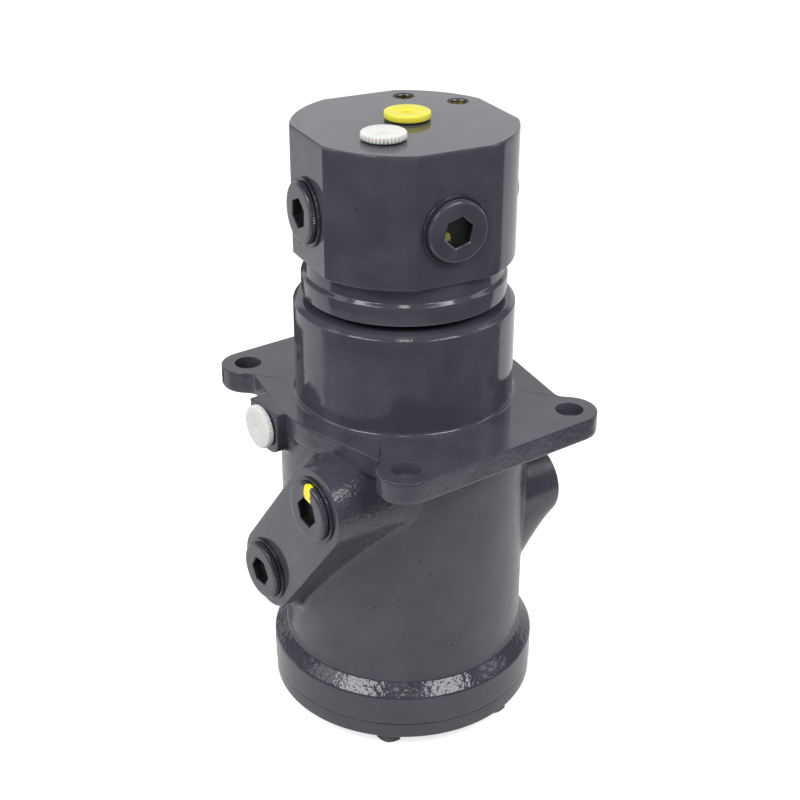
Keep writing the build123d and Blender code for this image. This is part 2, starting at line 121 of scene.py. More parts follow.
def reach_from(material, points, centre, half):
    """Distance from a place, measured in its half sizes: 1 on the ellipsoid round it."""
    off = put(material, "ShaderNodeVectorMath", {1: centre}, {0: points}, operation="SUBTRACT")
    part = put(material, "ShaderNodeVectorMath", {1: half}, {0: off.outputs[0]}, operation="DIVIDE")
    far = put(material, "ShaderNodeVectorMath", links={0: part.outputs[0]}, operation="LENGTH")
    return far.outputs["Value"]


def enamel(name, light, dark, roughness, peel, cast=0.0, grit=0.0, coarse=(), ripple=0.0, pits=0.0,
           mark=None, lump=7.0):
    """Two-pack machinery enamel sprayed over iron or steel: a glossy blue-grey film whose colour drifts a
    little with its thickness. The sockets' black oxide, whose darkness is partly painted shade of their
    depth, is made so too. All in mm: peel is the height of its orange peel, cast that of the sand-cast
    unevenness below it (lump mm wide), grit that of the fine cast grains, ripple that of sagged paint in
    patches, and pits that of the blow holes, whose insides are coloured near-black as painted shade.
    coarse lists the places (centre, half sizes) where the grains are at their height, all of the surface
    if there are none. mark (hex colour, centre, half sizes) is a dab of marking paint."""
    material, points = begin(name)
    clouds, colour = clouded(material, points, light, dark, 22, 3.0, 0.35)
    streaks = put(material, "ShaderNodeTexNoise", {"Scale": 1 / 6, "Detail": 4.0}, {"Vector": points})
    rough = uneven(material, streaks.outputs[0], roughness, 0.8, 1.25)
    skin = put(material, "ShaderNodeTexNoise", {"Scale": 1 / 2.2, "Detail": 1.0}, {"Vector": points})
    relief = put(material, "ShaderNodeBump", {"Strength": 1.0, "Distance": peel * MM},
                 {"Height": skin.outputs[0]})
    nibs = put(material, "ShaderNodeTexVoronoi", {"Scale": 1 / 13, "Randomness": 1.0}, {"Vector": points})
    dust = put(material, "ShaderNodeMapRange",
               {"From Min": 0.012, "From Max": 0.035, "To Min": 1.0, "To Max": 0.0},
               {"Value": nibs.outputs["Distance"]})
    relief = put(material, "ShaderNodeBump", {"Strength": 1.0, "Distance": 0.25 * MM},
                 {"Height": dust.outputs[0], "Normal": relief.outputs[0]})
    if ripple:
        waves = put(material, "ShaderNodeTexNoise", {"Scale": 1 / 3.4, "Detail": 2.0, "Distortion": 0.8},
                    {"Vector": points})
        patches = put(material, "ShaderNodeMapRange", {"From Min": 0.44, "From Max": 0.58}, {"Value": clouds})
        relief = put(material, "ShaderNodeBump", {"Distance": ripple * MM},
                     {"Strength": patches.outputs[0], "Height": waves.outputs[0],
                      "Normal": relief.outputs[0]})
    if pits:
        cells = put(material, "ShaderNodeTexVoronoi", {"Scale": 1 / 15, "Randomness": 1.0},
                    {"Vector": points})
        holes = put(material, "ShaderNodeMapRange", {"From Min": 0.028, "From Max": 0.055},
                    {"Value": cells.outputs["Distance"]})
        relief = put(material, "ShaderNodeBump", {"Strength": 1.0, "Distance": pits * MM},
                     {"Height": holes.outputs[0], "Normal": relief.outputs[0]})
        # Near-black in the blow holes: painted shade inside each dent.
        shade = put(material, "ShaderNodeMix", {"A": linear("#121215")},
                    {"Factor": holes.outputs[0], "B": colour}, data_type="RGBA")
        colour = shade.outputs["Result"]
    for height, width, detail in ((cast, lump, 0.45), (grit, 2.4, 0.5)):
        if height:
            grains = put(material, "ShaderNodeTexNoise",
                         {"Scale": 1 / width, "Detail": 2.0, "Roughness": detail}, {"Vector": points})
            relief = put(material, "ShaderNodeBump", {"Strength": 1.0, "Distance": height * MM},
                         {"Height": grains.outputs[0], "Normal": relief.outputs[0]})
    nearest = None
    for centre, half in coarse:
        far = reach_from(material, points, centre, half)
        if nearest is not None:
            far = put(material, "ShaderNodeMath", links={0: nearest, 1: far}, operation="MINIMUM").outputs[0]
        nearest = far
    if coarse:
        zone = put(material, "ShaderNodeMapRange", {"From Min": 1.1, "From Max": 0.7, "To Min": 0.12},
                   {"Value": nearest})
        material.node_tree.links.new(zone.outputs[0], relief.inputs["Strength"])
    if mark:
        code, centre, half = mark
        far = reach_from(material, points, centre, half)
        ragged = put(material, "ShaderNodeTexNoise", {"Scale": 1 / 3.5, "Detail": 3.0}, {"Vector": points})
        edge = put(material, "ShaderNodeMath", links={0: ragged.outputs[0], 1: far}, operation="ADD")
        dab = put(material, "ShaderNodeMapRange",
                  {"From Min": 1.38, "From Max": 1.5, "To Min": 1.0, "To Max": 0.0},
                  {"Value": edge.outputs[0]})
        painted = put(material, "ShaderNodeMix", {"B": linear(code)},
                      {"Factor": dab.outputs[0], "A": colour}, data_type="RGBA")
        colour = painted.outputs["Result"]
    film = put(material, "ShaderNodeBsdfPrincipled", {"IOR": 1.5, "Metallic": 0.0},
               {"Base Color": colour, "Roughness": rough, "Normal": relief.outputs[0]})
    return finish_material(material, film)


def moulded(name, light, dark, roughness, grain, subsurface=0.0):
    """Moulded plastic or rubber, and the stage's napped cloth: an even colour with faint clouds, and a
    matt grain of a height in mm. It is 0.5 mm wide, coarser than the real spark-eroded one, to show."""
    material, points = begin(name)
    colour = clouded(material, points, light, dark, 9, 2.0)[1]
    skin = put(material, "ShaderNodeTexNoise", {"Scale": 1 / 0.5, "Detail": 2.0}, {"Vector": points})
    relief = put(material, "ShaderNodeBump", {"Strength": 1.0, "Distance": grain * MM},
                 {"Height": skin.outputs[0]})
    rough = uneven(material, skin.outputs[0], roughness, 0.85, 1.15)
    body = put(material, "ShaderNodeBsdfPrincipled",
               {"IOR": 1.5, "Subsurface Weight": subsurface, "Subsurface Radius": (1.0, 0.9, 0.8),
                "Subsurface Scale": 4 * MM},
               {"Base Color": colour, "Roughness": rough, "Normal": relief.outputs[0]})
    return finish_material(material, body)


def turned(name, light, dark, roughness, pitch, height):
    """Metal turned on a lathe: fine feed lines across the axis, pitch and height in mm."""
    material, points = begin(name)
    clouds, colour = clouded(material, points, light, dark, 8, 3.0)
    # The wave texture repeats every 0.314 units at scale 1.
    lines = put(material, "ShaderNodeTexWave", {"Scale": 0.314 / pitch, "Distortion": 0.4},
                {"Vector": points}, wave_type="BANDS", bands_direction="Z")
    relief = put(material, "ShaderNodeBump", {"Strength": 1.0, "Distance": height * MM},
                 {"Height": lines.outputs[0]})
    rough = uneven(material, clouds, roughness, 0.8, 1.2)
    body = put(material, "ShaderNodeBsdfPrincipled", {"Metallic": 1.0},
               {"Base Color": colour, "Roughness": rough, "Normal": relief.outputs[0]})
    return finish_material(material, body)


# Iron cast in sand and fettled, then enamelled: satin, uneven like hammered skin, with a few blow
# holes whose near-black insides are painted shade, and gravelly where the mould was left rough
# beside the left pad.
beside_left_pad = (((-78.0, -66.0, -30.0), (26.0, 26.0, 24.0)), ((-70.0, 6.0, -24.0), (18.0, 14.0, 14.0)))
enamel_on_casting = enamel("enamel_on_sand_cast_iron", "#44454e", "#3c3d46", 0.24, 0.03, 0.14, 0.7,
                           beside_left_pad, pits=0.3)
# The skin of the casting that no tool touched, enamelled: lumpy and glossy, so it glitters.
enamel_on_rough_casting = enamel("enamel_on_rough_cast_iron", "#44454e", "#393a43", 0.13, 0.03, 0.5, 0.12,
                                 lump=4.5)
# The same skin along the flange plate, ground down a little: shallow dents that break up its sheen.
enamel_on_plate_edge = enamel("enamel_on_fettled_cast_iron", "#464750", "#3c3d46", 0.2, 0.03, 0.16, 0.16,
                              pits=0.2, lump=4.0)
# The rim of the foot, turned but not fine: satin with soft clouds.
enamel_on_rim = enamel("enamel_on_rough_turned_iron", "#44454e", "#3d3e47", 0.2, 0.025, 0.06)
# Forged steel turned and milled smooth, then enamelled: the film levels out and mirrors the room.
enamel_on_machined = enamel("enamel_on_turned_steel", "#474851", "#3f4049", 0.11, 0.012, pits=0.1)
# The collar is turned cast iron: the same mirror, but sagged paint wrinkles it in patches.
enamel_on_collar = enamel("enamel_on_turned_cast_iron", "#474851", "#3f4049", 0.11, 0.014, ripple=0.22)
# Zinc-plated steel plugs, screws and washers, enamelled over: a thin, darker and duller film.
enamel_on_fasteners = enamel("enamel_on_zinc_plated_steel", "#45464f", "#383941", 0.17, 0.02)
# The sockets keep the plugs' black oxide, oily from the key; their near-black is also painted shade
# of the deep socket: almost no light comes back out.
oxide_and_painted_shade_in_socket = enamel("black_oxide_and_painted_shade_in_socket", "#19191b", "#101012", 0.5, 0.02)
# The same socket, black oxide and painted shade, with a smear of the fitter's marking paint at its
# lower left, dulled by the oil.
oxide_and_painted_shade_marked_faintly = enamel("black_oxide_and_painted_shade_with_paint_dab", "#19191b", "#101012", 0.5, 0.02,
                               mark=("#84843a", tuple(polar(260.0, 66.5, 127.0) + 7.5 * polar(170.0, 1.0)),
                                     (5.0, 5.0, 3.6)))
# A plug with a dab of the fitter's marking paint on its face: opaque, ragged at its edge.
plug_marked_yellow = enamel("enamel_with_yellow_paint_dab", "#45464f", "#383941", 0.17, 0.02,
                            mark=("#fff01c", (-106.5, -45.0, -24.0), (7.0, 3.6, 8.5)))
# A steel ring with rubber bonded in it, enamelled over: the darkest film, with sharp highlights.
enamel_on_seals = enamel("enamel_on_bonded_seal", "#34353c", "#26272c", 0.12, 0.02)
# Cut threads, zinc-plated and yellow-passivated, left unpainted: brassy grooves.
passivated_thread = turned("yellow_passivated_thread", "#8f7f58", "#5d5238", 0.35, 0.4, 0.02)
# Low-density polyethylene, injection-moulded: waxy, soft-edged and slightly translucent.
white_cap = moulded("white_polyethylene", "#e0e0de", "#d8d8d6", 0.45, 0.02, 0.9)
yellow_cap = moulded("yellow_polyethylene", "#e6de4c", "#ded642", 0.45, 0.02, 0.9)
# Nitrile rubber, moulded: near black and matt.
nitrile = moulded("black_nitrile_rubber", "#1c1c1e", "#151517", 0.55, 0.03)
# Cast polyurethane, turned to size: dark, with a dull sheen.
polyurethane = moulded("dark_polyurethane_wiper", "#26272b", "#1c1d20", 0.4, 0.02)
# Sintered PTFE filled with bronze powder, turned: brown and waxy.
ptfe = moulded("bronze_filled_ptfe", "#6f6350", "#5e5344", 0.5, 0.02)
# Bare journals and drillings, ground or turned: bright, with fine rings.
steel = turned("turned_bare_steel", "#b4b2ae", "#9d9b97", 0.3, 0.4, 0.01)
# Cast bronze thrust washers, turned: warm, with fine rings.
bronze = turned("turned_bronze", "#b98b52", "#a47843", 0.35, 0.4, 0.01)

finish_of_slot = {
    "housing_paint": enamel_on_casting,
    "spindle_paint": enamel_on_machined,
    "cover_paint": enamel_on_machined,
    "bolt_paint": enamel_on_fasteners,
    "plug_paint": enamel_on_fasteners,
    "bonded_seal_paint": enamel_on_seals,
    "ptfe_compound": ptfe,
    "nitrile_rubber": nitrile,
    "wiper_rubber": polyurethane,
    "bronze": bronze,
    "bare_steel": steel,
    "white_cap_plastic": white_cap,
    "yellow_cap_plastic": yellow_cap,
}
for subpart in frame["record"]["subparts"]:
    skin = nodes[subpart["node"]].data.materials
    skin.clear()
    skin.append(finish_of_slot[subpart["material_slot"]])

# ==== surfaces ====

coincident = 1e-7  # points nearer than this, in metres, are one


def along(corners, radii, step=0.35):
    """The points (across, up) of a profile through the corners, each rounded by an arc of its radius:
    corner - t*a .. corner + t*b with t = radius / tan(half the corner's angle), and between them the arc
    about the centre on the bisector. Millimetres."""
    corners = np.asarray(corners, float)
    run = [corners[:1]]
    for before, corner, after, radius in zip(corners[:-2], corners[1:-1], corners[2:], radii):
        if radius <= 0:
            run.append(corner[None])
            continue
        a = (before - corner) / np.linalg.norm(before - corner)
        b = (after - corner) / np.linalg.norm(after - corner)
        half = np.arccos(np.clip(a @ b, -1, 1)) / 2
        centre = corner + (a + b) / np.linalg.norm(a + b) * radius / np.sin(half)
        start, stop = corner + a * radius / np.tan(half) - centre, corner + b * radius / np.tan(half) - centre
        sweep = np.pi - 2 * half
        turn = np.linspace(0, 1, max(3, int(np.ceil(sweep * radius / step)) + 1))[:, None]
        arc_points = np.sin((1 - turn) * sweep) * start + np.sin(turn * sweep) * stop
        run.append(centre + arc_points / np.sin(sweep))
    run.append(corners[-1:])
    return np.concatenate(run)


def spaced(points, step):
    """The same open path with extra points, none further apart than step."""
    pieces = [np.linspace(a, b, max(1, int(np.ceil(np.linalg.norm(b - a) / step))), endpoint=False)
              for a, b in zip(points[:-1], points[1:])]
    return np.concatenate(pieces + [points[-1:]])


def rim_directions(normal, first, f):
    """Directions cos f A + sin f B square to an axis, with B = N x A."""
    n, a = np.asarray(normal, float), np.asarray(first, float)
    return np.cos(f)[:, None] * a + np.sin(f)[:, None] * np.cross(n, a)


def right_round(count):
    """Angles of so many columns, right round."""
    return np.arange(count) * 2 * np.pi / count


def turned_grid(profile, count=180, origin=(0, 0, 0), normal=(0, 0, 1), first=(1, 0, 0)):
    """A profile (r, h) turned about an axis: P = origin + r (cos f A + sin f B) + h N, f right round."""
    rim = rim_directions(normal, first, right_round(count))
    return (np.asarray(origin, float) + profile[:, 0, None, None] * rim
            + profile[:, 1, None, None] * np.asarray(normal, float))


def woven(name, grids, bands=None, middle=None):
    """A mesh from grids of points (rows, columns, xyz) in mm: quads between neighbours, the last column
    joined to the first, points that coincide merged, faces turned away from the middle. bands gives, for
    each grid, the finish number of each of its rows of faces."""
    verts, faces, skins, offset = [], [], [], 0
    for number, grid in enumerate(grids):
        rows, columns = grid.shape[:2]
        index = np.arange(rows * columns).reshape(rows, columns) + offset
        beside = np.roll(index, -1, axis=1)
        quads = np.stack([index[:-1], beside[:-1], beside[1:], index[1:]], axis=-1).reshape(-1, 4)
        band = np.zeros(rows - 1, int) if bands is None else np.asarray(bands[number])
        verts.append(grid.reshape(-1, 3))
        faces.append(quads)
        skins.append(np.repeat(band, columns))
        offset += rows * columns
    verts, faces, skins = np.concatenate(verts) * MM, np.concatenate(faces), np.concatenate(skins)
    mesh = bpy.data.meshes.new(name)
    mesh.from_pydata(verts, [], faces.tolist())
    mesh.polygons.foreach_set("material_index", skins.astype(np.int32))
    tidy = bmesh.new()
    tidy.from_mesh(mesh)
    bmesh.ops.remove_doubles(tidy, verts=tidy.verts, dist=coincident)
    bmesh.ops.dissolve_degenerate(tidy, edges=tidy.edges, dist=coincident)
    bmesh.ops.recalc_face_normals(tidy, faces=tidy.faces)
    tidy.to_mesh(mesh)
    tidy.free()
    turn_outward(mesh, middle)
    return mesh


def turn_outward(mesh, middle):
    """Flips a mesh's faces if most of their area looks towards its middle."""
    count = len(mesh.polygons)
    centres, normals, areas = np.zeros(count * 3), np.zeros(count * 3), np.zeros(count)
    mesh.polygons.foreach_get("center", centres)
    mesh.polygons.foreach_get("normal", normals)
    mesh.polygons.foreach_get("area", areas)
    centres, normals = centres.reshape(-1, 3), normals.reshape(-1, 3)
    core = centres.mean(0) if middle is None else np.asarray(middle, float) * MM
    if (((centres - core) * normals).sum(1) * areas).sum() < 0:
        mesh.flip_normals()


def keep_flat(mesh):
    """Shades faces flat where they lie square to an axis, and smooth elsewhere."""
    normals = np.zeros(len(mesh.polygons) * 3)
    mesh.polygons.foreach_get("normal", normals)
    mesh.polygons.foreach_set("use_smooth", np.abs(normals.reshape(-1, 3)).max(1) < 0.99999)


def shown(name, data):
    """A new object in the scene."""
    made = bpy.data.objects.new(name, data)
    bpy.context.scene.collection.objects.link(made)
    return made


def piece(name, grids, body, finishes, stands_for=(), sharp=28.0, bands=None, middle=None):
    """A shown piece: smooth but for edges sharper than so many degrees, finished, riding on a body."""
    mesh = woven(name, grids, bands, middle)
    mesh.shade_smooth()
    keep_flat(mesh)
    mesh.set_sharp_from_angle(angle=math.radians(sharp))
    for finish in finishes:
        mesh.materials.append(finish)
    made = shown(name, mesh)
    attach(made, body)
    if stands_for:
        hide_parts(*stands_for)
    return made


def cut(made, grids):
    """Takes the closed turned shapes of these grids out of a piece, as drills do."""
    drills = [shown(f"drill_{number}", woven(f"drill_{number}", [grid])) for number, grid in enumerate(grids)]
    for drill in drills:
        trim = made.modifiers.new("drilled", "BOOLEAN")
        trim.operation, trim.solver, trim.object = "DIFFERENCE", "EXACT", drill
    bpy.context.view_layer.update()
    final = bpy.data.meshes.new_from_object(made.evaluated_get(bpy.context.evaluated_depsgraph_get()))
    made.modifiers.clear()
    keep_flat(final)
    made.data = final
    for drill in drills:
        bpy.data.objects.remove(drill)


# ---- spindle ----

head_turn = -10.0  # degrees from +X to the first flat
head_low, head_top = 96.1, 178.6
head_radius, head_flat = 69.9, 65.5
head_bevel = 0.9
journal = 50.0
port_height = 131.1
diagonal = head_turn + 45.0  # degrees from +X to the line of the holes in the head's top


def head_ring(inset, height):
    """Ring of the head's section, inset by a bevel: on each flat (flat - inset, s) for s between the
    corners at angle c = acos((flat - inset)/(radius - inset)), and between flats the circle."""
    r, d = head_radius - inset, head_flat - inset
    c = math.acos(d / r)
    lateral = np.linspace(-1, 1, 25)[:-1] * r * math.sin(c)
    on_flat = np.stack([np.full_like(lateral, d), lateral], axis=1)
    swing = np.linspace(c, math.pi / 2 - c, 28)[:-1]
    on_turn = np.stack([r * np.cos(swing), r * np.sin(swing)], axis=1)
    side = np.concatenate([on_flat, on_turn])
    rings = []
    for quarter in range(4):
        t = math.radians(head_turn + 90 * quarter)
        spin = np.array([[math.cos(t), math.sin(t)], [-math.sin(t), math.cos(t)]])
        rings.append(side @ spin)
    flatwise = np.concatenate(rings)
    return np.column_stack([flatwise, np.full(len(flatwise), height)])


def round_ring(radius, height):
    """Ring of a turned section, with its points at the same angles as the head's."""
    ring = head_ring(0.0, height)
    size = np.hypot(ring[:, 0], ring[:, 1])[:, None]
    return np.column_stack([ring[:, :2] / size * radius, ring[:, 2]])


stem = along([(0, -189.7), (journal, -189.7), (journal, 71.6), (65.5, 71.6), (65.5, 83.4), (63.4, 85.6),
              (63.4, head_low)], [1.0, 0.2, 0.6, 1.4, 1.4], 0.25)
bevel = [(head_bevel - head_bevel * math.sin(t), head_bevel - head_bevel * math.cos(t))
         for t in np.linspace(0, math.pi / 2, 6)]
flank_heights = np.linspace(head_low + head_bevel, head_top - head_bevel, 22)[1:-1]
spindle_rows = [round_ring(r, h) for r, h in stem]
spindle_rows += [head_ring(inset, head_low + rise) for inset, rise in bevel]
spindle_rows += [head_ring(0, h) for h in flank_heights]
spindle_rows += [head_ring(inset, head_top - rise) for inset, rise in reversed(bevel)]
rim = head_ring(head_bevel, head_top)
spindle_rows += [rim * (share, share, 1) for share in (0.93, 0.8, 0.6, 0.4, 0.2, 0.0)]
bare = [int(max(a, b) < journal + 1) for a, b in zip(stem[:-1, 0], stem[1:, 0])]
bare += [0] * (len(spindle_rows) - 1 - len(bare))
spindle = piece("spindle_forging", [np.stack(spindle_rows)], "spindle", [enamel_on_machined, steel],
                ("spindle",), sharp=16.0, bands=[bare])

tap_orbit, tap_half_spacing, tap_radius, tap_pitch, tap_depth = 52.0, 18.0, 6.0, 1.75, 21.0
tapped_places = [polar(diagonal, tap_orbit) + side * polar(diagonal + 90, tap_half_spacing)
                 for side in (-1, 1)]
top_ports = [polar(diagonal + 180, 39.0, head_top), polar(diagonal, 5.0, head_top)]
small_port = 10.48  # radius of the pilot and drain ports
tap_drill = np.array([(0, 1), (8.2, 1), (7.2, 0), (tap_radius, -1.2), (tap_radius, -22), (0, -25)])
port_drill = np.array([(0, 1), (12.1, 1), (11.1, 0), (small_port, -0.6), (small_port, -15), (5, -15),
                       (5, -40), (0, -42)])
cut(spindle, [turned_grid(tap_drill, 48, place + (0, 0, head_top)) for place in tapped_places]
    + [turned_grid(port_drill, 72, place) for place in top_ports])

# ---- housing ----

flange_depth = 15.0
barrel_radius = 82.0
waist, flank_turn = 85.5, math.radians(12.5)
ear, ear_radius, ear_root = np.array([65.0, 90.0]), 18.0, 8.0
flange_hole = 9.0
under_collar = 74.0  # radius to which the flange plate's faces reach inward
left_face, right_face, pilot_face, drain_face = -100.5, 94.0, -91.5, 89.0  # X of the pads and bosses
ports = {1: (left_face, -43.5, -38.0), 2: (left_face, 16.0, -113.0), 3: (right_face, -28.0, -88.0),
         4: (right_face, 31.0, -63.0)}
pilot_port, drain_port = (pilot_face, 28.0, -13.0), (drain_face, 12.0, -138.0)


def arc(centre, radius, start, stop, step=1.0, whole=False):
    """Points of an arc about a centre, angles in radians, the last one left out unless it is whole."""
    count = max(4, int(abs(stop - start) * radius / step) + 1)
    t = np.linspace(start, stop, count)[:None if whole else -1, None]
    return np.asarray(centre) + radius * np.hstack([np.cos(t), np.sin(t)])


def flange_outline():
    """Outline of the flange plate: waist arc, straight flank tangent to it, hollow round into the ear,
    ear arc, straight end; the quarter is mirrored in X and in Y."""
    n = np.array([math.cos(flank_turn), math.sin(flank_turn)])
    t = np.array([-n[1], n[0]])
    off = ear @ n - (waist + ear_root)
    hollow = n * (waist + ear_root) + t * (ear @ t - math.sqrt((ear_root + ear_radius) ** 2 - off ** 2))
    into_ear = math.atan2(*(hollow - ear)[::-1])
    flank = np.linspace(n * waist, n * waist + t * (hollow @ t), 34)[:-1]
    quarter = np.concatenate([
        arc((0, 0), waist, 0, flank_turn),
        flank,
        arc(hollow, ear_root, flank_turn + math.pi, into_ear + math.pi),
        arc(ear, ear_radius, into_ear, math.pi / 2),
        np.linspace((ear[0], ear[1] + ear_radius), (0, ear[1] + ear_radius), 44),
    ])
    half = np.concatenate([quarter, quarter[::-1][1:] * (-1, 1)])
    return np.concatenate([half, half[::-1][1:-1] * (1, -1)])


def outline_normals(outline):
    """Unit vectors square to a closed outline, outward for one that runs anticlockwise."""
    tangent = np.roll(outline, -1, axis=0) - np.roll(outline, 1, axis=0)
    tangent /= np.linalg.norm(tangent, axis=1)[:, None]
    return np.column_stack([tangent[:, 1], -tangent[:, 0]])


outline = flange_outline()
outward = outline_normals(outline)
turns = np.unwrap(np.arctan2(outline[:, 1], outline[:, 0]))
around = np.concatenate([turns - 2 * np.pi, turns, turns + 2 * np.pi])
# The inner ring's angles are a running mean of the outline's, so that no quad folds at the ear hollows.
evened = np.convolve(around, np.ones(61) / 61, "same")[len(turns):2 * len(turns)]
inner = np.column_stack([np.cos(evened), np.sin(evened)])
by_boss = (outline[:, 0] < 0) & (np.abs(outline[:, 1] - pilot_port[1]) < 18)
crisp = np.where(by_boss, 0.02, 0.7)  # radius of the plate's upper edge, sharp where the boss meets it
soft = 2.2  # radius of its lower edge


def plate_row(inset, height):
    """The plate's outline moved inward by an inset, at a height: P = outline - inset * outward."""
    inset = np.broadcast_to(inset, len(outline))
    return np.column_stack([outline - outward * inset[:, None], np.broadcast_to(height, len(outline))])


flange_rows = [np.column_stack([inner * under_collar, np.zeros(len(outline))])]
flange_rows += [plate_row(crisp + further, 0.0) for further in (0.25, 0.0)]
flange_rows += [plate_row(crisp * (1 - math.sin(t)), -crisp * (1 - math.cos(t)))
                for t in np.linspace(0, math.pi / 2, 5)[1:]]
top_rows = len(flange_rows) - 1
flange_rows += [plate_row(0.0, h) for h in np.linspace(-0.7, -flange_depth + soft, 8)[1:]]
flange_rows += [plate_row(soft * (1 - math.cos(t)), -flange_depth + soft * (1 - math.sin(t)))
                for t in np.linspace(0, math.pi / 2, 6)[1:]]
flange_rows += [np.column_stack([inner * under_collar, np.full(len(outline), -flange_depth)]), flange_rows[0]]
flange_bands = [0] * top_rows + [1] * (len(flange_rows) - 1 - top_rows)
flange = piece("housing_flange", [np.stack(flange_rows)], "housing",
               [enamel_on_machined, enamel_on_plate_edge], bands=[flange_bands],
               middle=(0, 0, -flange_depth / 2))
hole_drill = np.array([(0, 1), (10.1, 1), (flange_hole, -0.1), (flange_hole, -flange_depth + 0.3),
                       (9.6, -flange_depth - 1), (0, -flange_depth - 1)])
cut(flange, [turned_grid(hole_drill, 64, (sx * ear[0], sy * ear[1], 0)) for sx in (-1, 1) for sy in (-1, 1)])

collar = along([(50.06, -5), (50.06, 59), (58, 59), (58, 67), (68, 67), (71, 64), (71, 0), (74, 0), (74, -5),
                (50.06, -5)], [0, 0, 0, 0.5, 1.4, 2.98, 0, 0], 0.25)
piece("housing_collar", [turned_grid(spaced(collar, 12.0), 240)], "housing",
      [enamel_on_collar], ("housing",), sharp=20.0, middle=(0, 0, 20))

barrel = spaced(along([(72, -8), (85, -8), (85, -14.9), (barrel_radius, -14.9), (barrel_radius, -179.6),
                       (90.3, -187.0), (91, -188.2), (91, -208.5), (72, -208.5), (72, -8)],
                      [0, 0, 2.98, 2.5, 0.8, 0.8, 0.6, 0]), 2.0)
barrel_finish = [2 if r > 90.9 else int(82.3 < r and z < -100) for r, z in (barrel[:-1] + barrel[1:]) / 2]
piece("housing_barrel", [turned_grid(barrel, 300)], "housing",
      [enamel_on_casting, enamel_on_rough_casting, enamel_on_rim], sharp=35.0,
      bands=[barrel_finish], middle=(0, 0, -100))


def rounded_box(width, height, corners):
    """Outline of a rectangle about its middle, anticlockwise, each corner (lower right first) rounded."""
    centres = [(1, -1), (1, 1), (-1, 1), (-1, -1)]
    run = []
    for number, ((sx, sy), radius) in enumerate(zip(centres, corners)):
        middle = (sx * (width / 2 - radius), sy * (height / 2 - radius))
        run.append(arc(middle, radius, (number - 1) * math.pi / 2, number * math.pi / 2, whole=True))
    ring = np.concatenate(run)
    return spaced(np.vstack([ring, ring[:1]]), 1.0)[:-1]


def slotted(length, radius, tilt):
    """Outline of a slot about its middle, with the nearest point of its middle line for each point."""
    end = length / 2
    right_end = arc((end, 0), radius, -math.pi / 2, math.pi / 2)
    side = np.linspace((end, radius), (-end, radius), int(length) + 1)[:-1]
    half = np.concatenate([right_end, side])
    ring = np.concatenate([half, -half])
    core = np.column_stack([np.clip(ring[:, 0], -end, end), np.zeros(len(ring))])
    spin = np.array([[math.cos(tilt), math.sin(tilt)], [-math.sin(tilt), math.cos(tilt)]])
    return ring @ spin, core @ spin


pad_edge = 0.9  # radius of a pad's machined edge


def pad(name, face, middle, ring, core, root, draft=2.5, hole=None, level_top=False, ramp=0.0):
    """A port pad: from its middle line over the flat face, round the edge, down the drafted wall and
    through a hollow of the root radius on to the barrel x^2 + y^2 = R^2. In the plane square to the
    outline, s outward and t inward, the wall is s = t tan(draft) and the ground t = |face| -
    sqrt(R^2 - y^2); the hollow is the circle that touches both, its centre (s_c, t_c) found in steps.
    face is the X of the flat face, hole the radius of a port bored in it, and ramp the extra lean of the
    lower wall. With level_top the pad ends level with its outline's top."""
    side, distance = math.copysign(1, face), abs(face)
    ring, core = ring + middle, core + middle
    n = outline_normals(ring)
    slope = math.tan(math.radians(draft))
    radius = np.full(len(ring), root)
    leaning = slope + ramp * np.clip(-n[:, 1], 0, 1) ** 2
    flush = np.clip(n[:, 1], 0, 1) * level_top
    if level_top:
        radius = radius * (1 - flush) + 0.05
        leaning = leaning * (1 - flush)

    def ground(s):
        y = np.clip((ring[:, 0] + n[:, 0] * s), -barrel_radius * 0.985, barrel_radius * 0.985)
        height = np.sqrt(barrel_radius ** 2 - y ** 2)
        return distance - height, n[:, 0] * y / height

    s_c = leaning * 15 + radius
    for _ in range(12):
        g, dg = ground(s_c)
        t_c = g - radius * np.sqrt(1 + dg ** 2)
        s_c = leaning * t_c + radius
    g, dg = ground(s_c)
    long = np.sqrt(1 + dg ** 2)
    a0 = np.pi - np.arctan(leaning)
    a1 = np.minimum(np.arctan2(1 / long, -dg / long), a0)
    rows = []
    if hole is None:
        for share in (0.0, 0.5):
            rows.append((core + (ring - n * pad_edge - core) * share, np.zeros(len(ring))))
    else:
        about = ring - n * pad_edge - middle
        spoke = about / np.linalg.norm(about, axis=1)[:, None]
        for r, depth in ((0.0, 40.0), (4.0, 40.0), (4.0, 15.0), (hole, 15.0), (hole, 0.6), (hole + 0.6, 0.0)):
            rows.append((middle + spoke * r, np.full(len(ring), depth)))
    for turn in np.linspace(0, math.pi / 2, 5):
        rows.append((ring - n * pad_edge * (1 - math.sin(turn)),
                     np.full(len(ring), pad_edge * (1 - math.cos(turn)))))
    machined = len(rows) - 1
    start_t = t_c + radius * np.sin(a0)
    start_s = s_c + radius * np.cos(a0)
    for share in (0.33, 0.66):
        t = pad_edge + (start_t - pad_edge) * share
        s = start_s * share
        rows.append((ring + n * s[:, None], t))
    for share in np.linspace(0, 1, 9):
        a = a0 + (a1 - a0) * share
        rows.append((ring + n * (s_c + radius * np.cos(a))[:, None], t_c + radius * np.sin(a)))
    last = s_c + radius * np.cos(a1)
    for further, sink in ((1.5, 0.15), (3.0, 0.8)):
        s = last + further * (1 - flush)
        rows.append((ring + n * s[:, None], ground(s)[0] + sink))
    # Rows that run into the flange plate end 1 mm below its upper face, or level with the boss's top.
    ceiling = ring[:, 1].max() if level_top else -1.0
    grid = np.stack([np.column_stack([side * (distance - t), side * flat[:, 0],
                                      np.minimum(flat[:, 1], ceiling)]) for flat, t in rows])
    piece(name, [grid], "housing", [enamel_on_machined, enamel_on_casting],
          bands=[[0] * machined + [1] * (len(rows) - 1 - machined)], sharp=30.0,
          middle=(side * 30.0, side * middle[0], middle[1]))


def on_face(place):
    """A place on a side face, as (right, up) on it seen from outside."""
    x, y, z = place
    return np.array([math.copysign(1, x) * y, z])


